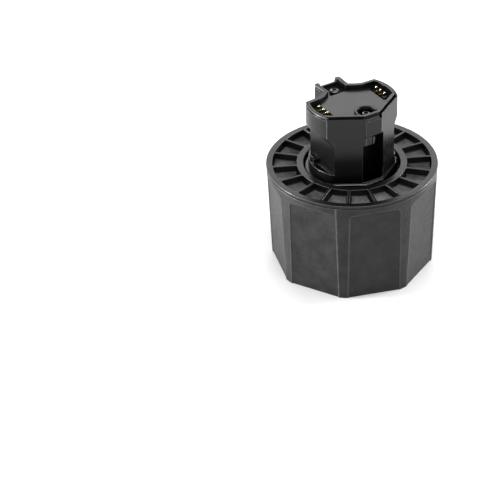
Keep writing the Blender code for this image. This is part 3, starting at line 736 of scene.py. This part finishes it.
def make_ring_nut():
    """Flange cells, turned body and thread of the nut, in one mesh."""
    points, faces = [], []

    def add(part):
        start = len(points)
        points.extend(part[0])
        faces.extend(tuple(index + start for index in face) for face in part[1])

    phase = [math.radians(POCKET_PHASE + 360 / POCKETS * (index + 0.5)) for index in range(POCKETS)]
    for turn in phase:
        rings = pocket_cell(turn)
        add(loft(rings, caps=False))
        add(patch(rings[-1], ARC_STEPS, SIDE_STEPS))
    edge_low, foot_wall, lead_in_top = RING_TOP - FLANGE_EDGE, 0.4, 2.9
    shoulder_r, shoulder = 32.4, (41.3, 42.4)
    profile = [
        (CELL_OUT_R, RING_TOP), (FLANGE_R, RING_TOP), (FLANGE_R, edge_low), (NUT_STEP_R, edge_low),
        (NUT_STEP_R, shoulder[1]), (shoulder_r, shoulder[0]), (NUT_R, shoulder[0]), (NUT_R, NUT_FOOT),
        (NUT_R - foot_wall, NUT_FOOT), (THREAD_ROOT_R, lead_in_top), (THREAD_ROOT_R, ROOF_LOW),
        (LIP_R, ROOF_LOW), (LIP_R, LIP_TOP), (HOLE_R, LIP_TOP), (HOLE_R, RING_TOP), (CELL_IN_R, RING_TOP),
    ]
    profile = rounded(profile, 0.4, 4, closed=False, sharpest=20.0)
    step = math.tau / POCKETS / ARC_STEPS
    angles = [phase[0] + step * (index + ARC_STEPS / 2) for index in range(POCKETS * ARC_STEPS)]
    add(loft([[(r * math.cos(a), r * math.sin(a), z) for a in angles] for r, z in profile], caps=False))
    add(loft(thread_rings()))
    nut = mesh_object("nut", points, faces)
    dress(nut, "ring_nut_body", "ring", ["ring_nut"], RING)
    # The pocket floors get the material with painted glints.
    nut.data.materials.append(POCKET_FLOOR_GLINTS)
    floor, near = (RING_TOP - POCKET_DEPTH) * MM, 0.01 * MM
    for face in nut.data.polygons:
        if abs(face.center.z - floor) < near:
            face.material_index = 1


# ---------- post

LUG = arc(LUG_R, *LUG_ANGLES, 16)
LUG_FRONT_W = LUG[0][1]


def flank_meets(radius):
    """Where the straight flank beside the front flat meets a circle about the axis."""
    start = Vector((FRONT_HALF, FRONT_W))
    along = (Vector(LUG[0]) - start).normalized()
    part = start.dot(along)
    return tuple(start + along * (-part + math.sqrt(part * part - start.dot(start) + radius * radius)))


BASE_CORNER = flank_meets(BASE_R)
POST_OUTLINE = mirrored(
    [(FRONT_HALF, FRONT_W)] + LUG + [(10.9, 9.1), (8.5, 10.2), (6.0, 11.9), (6.3, 18.4), (5.6, 19.1)]
)
BASE_OUTLINE = mirrored(
    [(FRONT_HALF, FRONT_W)]
    + arc(BASE_R, math.degrees(math.atan2(BASE_CORNER[1], BASE_CORNER[0])), 89.0, 40)
)


def collar_outline():
    """Circle of the collar, flattened beside the post's front flats."""
    outline, round_from = [], BASE_CORNER[1] + 1.5
    for x, y in inset(BASE_OUTLINE, -COLLAR_STEP):
        reach = math.hypot(x, y)
        scale = COLLAR_R / reach if y > round_from or reach > COLLAR_R else 1.0
        outline.append((x * scale, y * scale))
    return outline


def groove_cutter(side):
    """Bayonet groove under a lug, with a round lead-in at its top, cut before the base fills its foot."""
    foot, outside, reach = LEDGE_Z - 1.0, 24.0, 13.0
    low, high = GROOVE_TOP
    outline = [
        (GROOVE_U, foot), (GROOVE_U, low), (GROOVE_U + 0.2, low + 0.8), (GROOVE_U + 0.7, low + 1.4),
        (17.6, high - 0.5), (19.6, high), (outside, high), (outside, foot),
    ]
    return prism("groove", [(side * u, z) for u, z in outline], -reach, reach, along="Y")


def ledge_recess(side):
    """Crescent sunk into the ledge between the groove's wall and the ledge's outer rim."""
    rim, wall, depth, rear_w = 0.7, 0.75, 1.0, STOP_W[0] - 0.5
    radius = BASE_R - rim
    u = GROOVE_U + wall
    start = 1.0 - math.degrees(math.acos(u / radius))
    end = math.degrees(math.asin(rear_w / radius))
    outline = [(side * x, y) for x, y in arc(radius, start, end, 14) + [(u, rear_w)]]
    return prism("ledge_recess", outline, LEDGE_Z - depth, LEDGE_Z + 1.0)


def groove_stop(side):
    """Small bevelled block on the ledge that a locking jaw turns against."""
    inner, outer = GROOVE_U - 0.5, GROOVE_U + 2.4
    (low, high), foot, bevel = STOP_W, LEDGE_Z - 0.5, 0.9
    outline = [(low, foot), (high, foot), (high, STOP_TOP), (low + bevel, STOP_TOP),
               (low, STOP_TOP - bevel)]
    rings = [[(side * u, w, z) for w, z in outline] for u in (inner, outer)]
    return mesh_object("stop", *loft(rings))


def latch_parts():
    """Seams of the latch's tongue, and two thin ribs beside it that stand out from the slot's rear."""
    low, high = SLOT_TOP
    left, right = -3.95, SLOT_STEP_U
    front, seam_rear, rib_rear, rib_low = FRONT_W - 0.7, FRONT_W + 0.7, SLOT_REAR_W + 0.3, low - 0.3
    seams = [
        box("seam_top", (left, front, high - 0.35), (right + 0.1, seam_rear, high)),
        box("seam_side", (right - 0.3, front, low - 0.2), (right + 0.1, seam_rear, high)),
    ]
    ribs = [
        box("rib_near", (right + 0.35, FRONT_W + 0.25, rib_low), (right + 0.75, rib_rear, high - 0.6)),
        box("rib_far", (right + 1.25, FRONT_W + 0.7, rib_low), (right + 1.55, rib_rear, high - 1.1)),
    ]
    return seams, ribs


def chamfered(name, outline, low, high, edge):
    """Straight solid whose upper edge is cut at 45 degrees."""
    levels = [(outline, low), (outline, high - edge), (inset(outline, edge), high)]
    return mesh_object(name, *loft([[(x, y, z) for x, y in line] for line, z in levels]))


def shadow_groove():
    """Frame that cuts a shallow groove round the outside of the lobes, just under their top."""
    depth, low, high, outside = 0.45, 75.05, 75.85, 24.0
    block = centred_box("shadow_groove", outside, (LUG_FRONT_W + 0.6, outside), (low, high))
    return cut(block, prism("kept", inset(POST_OUTLINE, depth), low - PAST, high + PAST))


def make_post():
    """Post on its base and collar, with its grooves, deck pocket, wire channel and latch slot."""
    over, front, (slot_low, slot_high) = POST_TOP + PAST, -OUTSIDE, SLOT_TOP
    slot_foot, corner_r = COLLAR[1] + 0.4, 0.55
    post = prism("post_body", rounded(POST_OUTLINE, corner_r), LEDGE_Z - 0.5, POST_TOP)
    base = prism("post_base", rounded(BASE_OUTLINE, corner_r), BASE_LOW, LEDGE_Z)
    collar = chamfered("post_collar", collar_outline(), *COLLAR, 0.45)
    cut(post, groove_cutter(1), groove_cutter(-1))
    join(post, base, collar, groove_stop(1), groove_stop(-1))
    seams, ribs = latch_parts()
    wall = rounded(inset(POST_OUTLINE, *WALL_INSET), 0.5)
    cut(
        post,
        ledge_recess(1), ledge_recess(-1),
        prism("deck_pocket", wall, SEAT_Z, over),
        prism("board_cavity", inset(POST_OUTLINE, BOARD_WALL), BOARD_LOW, SEAT_Z + 1),
        centred_box("front_step", OUTSIDE, (front, LUG_FRONT_W), (HOUSING_TOP, over)),
        centred_box("wire_channel", CHANNEL_HALF, CHANNEL_W, (BASE_LOW - PAST, CHANNEL_TOP)),
        centred_box("latch_slot", SLOT_HALF, (front, SLOT_REAR_W), (slot_foot, slot_low)),
        box("slot_step", (SLOT_STEP_U, front, slot_low - PAST), (SLOT_HALF, SLOT_REAR_W, slot_high)),
        centred_box("slot_foot", SLOT_FOOT_HALF, (FRONT_W + 1.0, SLOT_REAR_W), SLOT_FOOT),
        centred_box("front_notch", FRONT_NOTCH_HALF, (front, FRONT_NOTCH_W), (FRONT_NOTCH_Z, over)),
        centred_box("rear_notch", REAR_GAP_HALF, (REAR_NOTCH_W, OUTSIDE), (REAR_NOTCH_Z, over)),
        shadow_groove(),
        *seams,
    )
    join(post, *ribs)
    soften(post, 0.15)
    dress(post, "post_shell", "hub", ["post_housing"], HARD)


# ---------- contact deck

def contact_places():
    rows = (-CONTACT_PITCH, 0.0, CONTACT_PITCH)
    return [(-CONTACT_U, w) for w in rows] + [(CONTACT_U, w) for w in rows]


def plateau_outline():
    """Outline of the deck's raised floor, between the contact wells and in front of the rear screw."""
    return mirrored([(3.4, -14.6), (11.6, -10.0), (12.8, -8.4), (12.8, 6.3), (11.2, 6.9), (5.2, 9.5)])


def screw_lip():
    """Round bead behind the front screw, open towards the front."""
    foot, half, rear = PLATEAU - 0.6, 6.0, FRONT_SCREW_W - 1.6
    lip = tube_ring("screw_lip", SCREW_LIP_R, (foot, SCREW_LIP_TOP), 0.6, 64, (0.0, FRONT_SCREW_W))
    return cut(lip, centred_box("lip_opening", half, (-OUTSIDE, rear), (PLATEAU - PAST, POST_TOP)))


def make_deck():
    """Deck with its rim wall, raised floor, contact wells and screw bores."""
    under, over, barrel_hole_top = DECK_LOW.z - 1, POST_TOP + 1, 73.0
    deck = prism("deck_body", rounded(inset(POST_OUTLINE, *DECK_INSET), 0.45), DECK_LOW.z, POST_TOP)
    recess = rounded(inset(POST_OUTLINE, *RECESS_INSET), 0.6)
    cut(deck, prism("recess", recess, DECK_FLOOR, POST_TOP + PAST))
    floor = prism("floor", rounded(plateau_outline(), 0.6), DECK_LOW.z + 0.5, PLATEAU)
    join(deck, floor, box("front_tab", *FRONT_TAB), screw_lip())
    bore = prism("screw_bore", circle(SCREW_BORE_R, 48, (0.0, FRONT_SCREW_W)), DECK_FLOOR, over)
    holes = [prism("screw_hole", circle(SCREW_HOLE_R, 24, (0.0, w)), under, over)
             for w in (FRONT_SCREW_W, REAR_SCREW_W)]
    holes += [prism("barrel_hole", circle(BARREL_HOLE_R, 20, place), under, barrel_hole_top)
              for place in contact_places()]
    near, far = WELL_U
    cut(
        deck,
        bore,
        centred_box("rear_gap", REAR_GAP_HALF, (REAR_GAP_W, OUTSIDE), (REAR_GAP_Z, POST_TOP + PAST)),
        box("well_left", (-far, -WELL_HALF, WELL_FLOOR), (-near, WELL_HALF, POST_TOP)),
        box("well_right", (near, -WELL_HALF, WELL_FLOOR), (far, WELL_HALF, POST_TOP)),
        *holes,
    )
    soften(deck, 0.13)
    dress(deck, "deck_plate", "hub", ["contact_deck"], SATIN)


def make_contacts():
    """Barrel and plunger of each spring contact, turned round their own axis."""
    outer, bore, floor = BARREL_R, BARREL_BORE_R, 69.4
    waist_r, waist_low, waist_high, edge = 0.93, 72.8, 73.3, 0.1
    for number, place in enumerate(contact_places(), start=1):
        low, top = (corner.z for corner in size_of(f"contact_barrel_{number}"))
        foot, tip = (corner.z for corner in size_of(f"contact_plunger_{number}"))
        barrel = turned("barrel", [
            (0.0, floor), (bore, floor), (bore, top - 0.12), (bore + 0.06, top - 0.02), (bore + 0.12, top),
            (waist_r, top - 0.04), (outer, top - 0.14), (outer, waist_high), (waist_r, waist_high - edge),
            (waist_r, waist_low + edge), (outer, waist_low), (outer, low + edge), (outer - edge, low),
            (0.0, low),
        ], 28, place)
        node = f"contact_barrel_{number}"
        dress(barrel, f"gold_barrel_{number}", "hub", [node], SHADED_BARREL_GOLD)
        dome = [(PLUNGER_R * math.sin(turn), tip - PLUNGER_R + PLUNGER_R * math.cos(turn))
                for turn in (math.radians(angle) for angle in range(0, 91, 15))]
        edges = [(PLUNGER_R, foot + 0.06), (PLUNGER_R - 0.06, foot), (0.0, foot)]
        plunger = turned("plunger", dome + edges, 28, place)
        body, node = f"contact_{number}", f"contact_plunger_{number}"
        dress(plunger, f"gold_plunger_{number}", body, [node], GOLD)


def make_coils():
    """Coil spring under each plunger."""
    wire, turns, per_turn, section = 0.11, 4, 20, 10
    for number, place in enumerate(contact_places(), start=1):
        low, high = size_of(f"contact_spring_{number}")
        bottom, top = low.z + wire, high.z - wire
        rings = []
        for step in range(turns * per_turn + 1):
            angle = math.tau * step / per_turn
            height = bottom + (top - bottom) * step / (turns * per_turn)
            ring = []
            for index in range(section):
                part = math.tau * index / section
                radius = SPRING_COIL_R + wire * math.cos(part)
                ring.append((place[0] + radius * math.cos(angle), place[1] + radius * math.sin(angle),
                             height + wire * math.sin(part)))
            rings.append(ring)
        coil = mesh_object("coil", *loft(rings))
        dress(coil, f"coil_spring_{number}", "hub", [f"contact_spring_{number}"], SPRING)
        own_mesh(coil)


def make_wave_spring():
    """Flat wave washer that holds the ring nut up."""
    low, high = size_of("wave_spring")
    thick, edge, waves, steps = 0.4, 0.06, 4, 144
    (inner, outer), middle, half = WAVE_R, (low.z + high.z) / 2, thick / 2
    swing = (high.z - low.z - thick) / 2
    section = rounded([(inner, -half), (outer, -half), (outer, half), (inner, half)], edge, 2)
    rings = []
    for step in range(steps):
        angle = math.tau * step / steps
        rise = middle + swing * math.cos(waves * angle)
        rings.append([(r * math.cos(angle), r * math.sin(angle), rise + z) for r, z in section])
    wave = mesh_object("wave", *loft(rings, joined_ends=True))
    dress(wave, "wave_washer", "hub", ["wave_spring"], SPRING, planes=False)
    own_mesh(wave)


def star(radius):
    """Outline of a six-lobe driver recess."""
    lobes, depth, steps = 6, 0.24, 48
    outline = []
    for step in range(steps):
        angle = math.tau * step / steps
        reach = radius * (1.0 - depth * (0.5 - 0.5 * math.cos(lobes * angle)))
        outline.append((reach * math.cos(angle), reach * math.sin(angle)))
    return outline


def make_screw(node, place, seat, sign, head_r, head_h, length, shank_r):
    """Pan-head screw with a six-lobe recess. Its head is above its seat with sign 1, below with -1."""
    pitch, thread_depth, recess_r, recess_depth, edge = 0.8, 0.22, 1.05, 0.75, 0.1
    crown = [(head_r * math.sin(turn), head_h * (0.45 + 0.55 * math.cos(turn)))
             for turn in (math.radians(angle) for angle in range(0, 91, 10))]
    shank = [(head_r, edge), (head_r - edge, 0.0), (shank_r, 0.0)]
    root_r = shank_r - thread_depth
    for turn in range(int((length - 1.0) / pitch)):
        z = -pitch - pitch * turn
        shank += [(root_r, z + 0.25), (shank_r, z), (root_r, z - 0.25)]
    tip = [(shank_r - 0.4, -length), (0.0, -length)]
    screw = turned("screw", [(r, seat + sign * z) for r, z in crown + shank + tip], 36, place)
    low, high = sorted((seat + sign * (head_h - recess_depth), seat + sign * (head_h + 0.5)))
    recess = [(place[0] + x, place[1] + y) for x, y in star(recess_r)]
    cut(screw, prism("driver_recess", recess, low, high))
    soften(screw, 0.05, 1, 40.0)
    dress(screw, "star_" + node, "hub", [node], STEEL)


def make_screws():
    """The deck's two screws, seen from above, and the socket plate's two, seen from the mouth."""
    for node, w in (("deck_screw_front", FRONT_SCREW_W), ("deck_screw_rear", REAR_SCREW_W)):
        seat = DECK_FLOOR + 0.3
        make_screw(node, (0.0, w), seat, 1, head_r=2.15, head_h=1.2, length=11.0, shank_r=1.0)
    for node, u in (("plate_screw_left", -PLATE_SCREW_U), ("plate_screw_right", PLATE_SCREW_U)):
        seat = PLATE_LOW.z + 0.8
        make_screw(node, (u, 0.0), seat, -1, head_r=1.9, head_h=0.9, length=8.0, shank_r=0.9)


# ---------- key tube and socket

KEY_OUTLINE = mirrored_twice([(8.6, 7.4), (6.5, 8.3), (5.5, 10.4), (5.2, 18.3)], arc(17.5, -25, 25, 20))
PLATE_OUTLINE = mirrored_twice(
    [(14.4, 3.4), (12.6, 5.3), (7.6, 5.3), (5.0, 6.4), (2.6, 7.5)], [(14.9, 0.0)]
)


def at_screws(name, radius, steps, low, high):
    """Upright cylinder at each screw of the socket plate."""
    places = ((PLATE_SCREW_U, 0.0), (-PLATE_SCREW_U, 0.0))
    return [prism(name, circle(radius, steps, place), low, high) for place in places]


def make_key_tube():
    tube = prism("key_body", rounded(KEY_OUTLINE, 1.0), KEY_FOOT, KEY_FLANGE[0] + 0.5)
    join(tube, prism("key_flange", circle(KEY_FLANGE_R, 120), *KEY_FLANGE))
    hollow = rounded(inset(KEY_OUTLINE, KEY_WALL), 0.8)
    cut(tube, prism("key_hollow", hollow, KEY_FOOT - PAST, KEY_CAP))
    join(tube, *at_screws("boss", BOSS_R, 40, PLATE_HIGH.z + 0.3, KEY_CAP + 0.5))
    cut(
        tube,
        *at_screws("pilot", PILOT_R, 20, PLATE_HIGH.z, PILOT_TOP),
        prism("wire_hole", circle(WIRE_HOLE_R, 48), KEY_CAP - 1, KEY_FLANGE[1] + 1),
    )
    soften(tube, 0.22)
    dress(tube, "key_shell", "hub", ["key_tube"], HARD)


def make_socket_plate():
    low, high = PLATE_LOW.z, PLATE_HIGH.z
    plate = prism("plate_body", rounded(PLATE_OUTLINE, 0.8), low, high)
    cut(
        plate,
        prism("socket_hole", circle(SHIELD_HIGH.x + 0.3, 64), low - 1, high + 1),
        *at_screws("plate_hole", PILOT_R, 24, low - 1, high + 1),
        *at_screws("plate_bore", PLATE_BORE_R, 40, low - 1, low + 1.1),
    )
    soften(plate, 0.15)
    dress(plate, "socket_face", "hub", ["socket_plate"], SATIN)


def make_socket_shield():
    thick, notch_half, notch_w, notch_depth = 0.5, 1.4, (3.5, 7.0), 2.5
    low, high, radius = SHIELD_LOW.z, SHIELD_HIGH.z, SHIELD_HIGH.x
    shield = tube_ring("shield", (radius - thick, radius), (low, high), 0.12, 96)
    cut(shield, centred_box("notch", notch_half, notch_w, (low - 1, low + notch_depth)))
    dress(shield, "metal_shield", "hub", ["socket_shield"], SHIELD_METAL)


def make_socket_insert():
    key_half, key_w = 0.9, (-4.2, -3.2)
    depth = (INSERT_LOW.z - 1, INSERT_LOW.z + PIN_DEPTH)
    insert = prism("insert", circle(INSERT_HIGH.x, 72), INSERT_LOW.z, INSERT_HIGH.z)
    pins = [prism("pin", circle(PIN_R, 16, place), *depth) for place in pin_places()]
    cut(insert, centred_box("key", key_half, key_w, depth), *pins)
    soften(insert, 0.1)
    dress(insert, "pin_insert", "hub", ["socket_insert"], DARK)


def pin_places():
    """Eight pins of a round socket in rows of two, three and three."""
    rows = ((-2.3, (-1.3, 1.3)), (-0.1, (-2.7, 0.0, 2.7)), (2.1, (-2.0, 0.0, 2.0)))
    return [(u, w) for w, row in rows for u in row]


def paint_nodes():
    """Materials for the CAD nodes that stay as they are, inside the adapter."""
    paints = {"contact_board": BOARD, "socket_board": BOARD, "wire_harness": CABLE, "thrust_washer": DARK}
    paints.update({f"hub_screw_{number}": STEEL for number in range(1, 5)})
    for name, paint in paints.items():
        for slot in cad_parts[name].material_slots:
            slot.material = paint


# ---------- camera and light

# Angles are in degrees, the lens and its sensor in millimetres, and places in metres.
LENS, SENSOR = 187.5, 36.0
AZIMUTH, ELEVATION, ROLL = -31.0, 33.0, -1.7
DISTANCE, ORIGIN_RIGHT, ORIGIN_UP = 1.0728, 0.04802, -0.00575
GAMMA = 0.76
FLOOR_SIZE = 6.0
AIM = (0.0, 0.0, 0.04)


def make_camera():
    """Looks down from the front left, with the origin right of and a little below the view's middle."""
    turn, rise, roll = (math.radians(angle) for angle in (AZIMUTH, ELEVATION, ROLL))
    back = Vector((math.sin(turn) * math.cos(rise), -math.cos(turn) * math.cos(rise), math.sin(rise)))
    level = Vector((math.cos(turn), math.sin(turn), 0.0))
    upright = back.cross(level)
    right = level * math.cos(roll) + upright * math.sin(roll)
    up = -level * math.sin(roll) + upright * math.cos(roll)
    scene = bpy.context.scene
    data = bpy.data.cameras.new("camera")
    data.lens = LENS
    data.sensor_width = SENSOR
    data.clip_start = 0.01
    data.clip_end = 20.0
    camera = new_object("camera", data)
    place = back * DISTANCE - right * ORIGIN_RIGHT - up * ORIGIN_UP
    rotation = Matrix((right, up, back)).transposed()
    camera.matrix_world = Matrix.Translation(place) @ rotation.to_4x4()
    scene.camera = camera
    scene.view_settings.view_transform = "Standard"
    scene.view_settings.gamma = GAMMA


def area_light(name, place, size, power):
    """Softbox aimed at the adapter, with its width and height in metres and its power in watts."""
    data = bpy.data.lights.new(name, "AREA")
    data.shape = "RECTANGLE"
    data.size, data.size_y = size
    data.energy = power
    light = new_object(name, data)
    light.location = place
    light.rotation_euler = (Vector(AIM) - Vector(place)).to_track_quat("-Z", "Y").to_euler()


def make_lights():
    world = bpy.data.worlds.new("studio")
    world.use_nodes = True
    background = world.node_tree.nodes["Background"]
    background.inputs["Color"].default_value = (1.0, 1.0, 1.0, 1.0)
    background.inputs["Strength"].default_value = 0.55
    bpy.context.scene.world = world
    area_light("overhead", (0.0, -0.45, 1.6), (2.2, 2.2), 17.5)
    area_light("rear", (0.75, 1.25, 0.95), (1.5, 0.7), 8.0)
    area_light("key", (-0.58, -0.87, 1.6), (0.35, 0.35), 4.5)
    area_light("left", (-1.05, 0.6, 0.14), (0.3, 0.22), 26.0)
    area_light("right", (1.05, -0.3, 0.16), (0.3, 0.25), 16.0)


def make_floor():
    mesh = bpy.data.meshes.new("floor")
    bm = bmesh.new()
    bmesh.ops.create_grid(bm, x_segments=1, y_segments=1, size=FLOOR_SIZE)
    bm.to_mesh(mesh)
    bm.free()
    floor = new_object("floor", mesh)
    paint = bpy.data.materials.new("pale_floor")
    paint.use_nodes = True
    shader = paint.node_tree.nodes["Principled BSDF"]
    shader.inputs["Base Color"].default_value = (0.93, 0.93, 0.93, 1.0)
    shader.inputs["Roughness"].default_value = 0.6
    mesh.materials.append(paint)


make_camera()
make_lights()
make_floor()
make_grip()
make_ring_nut()
make_post()
make_deck()
make_contacts()
make_coils()
make_wave_spring()
make_screws()
make_key_tube()
make_socket_plate()
make_socket_shield()
make_socket_insert()
paint_nodes()
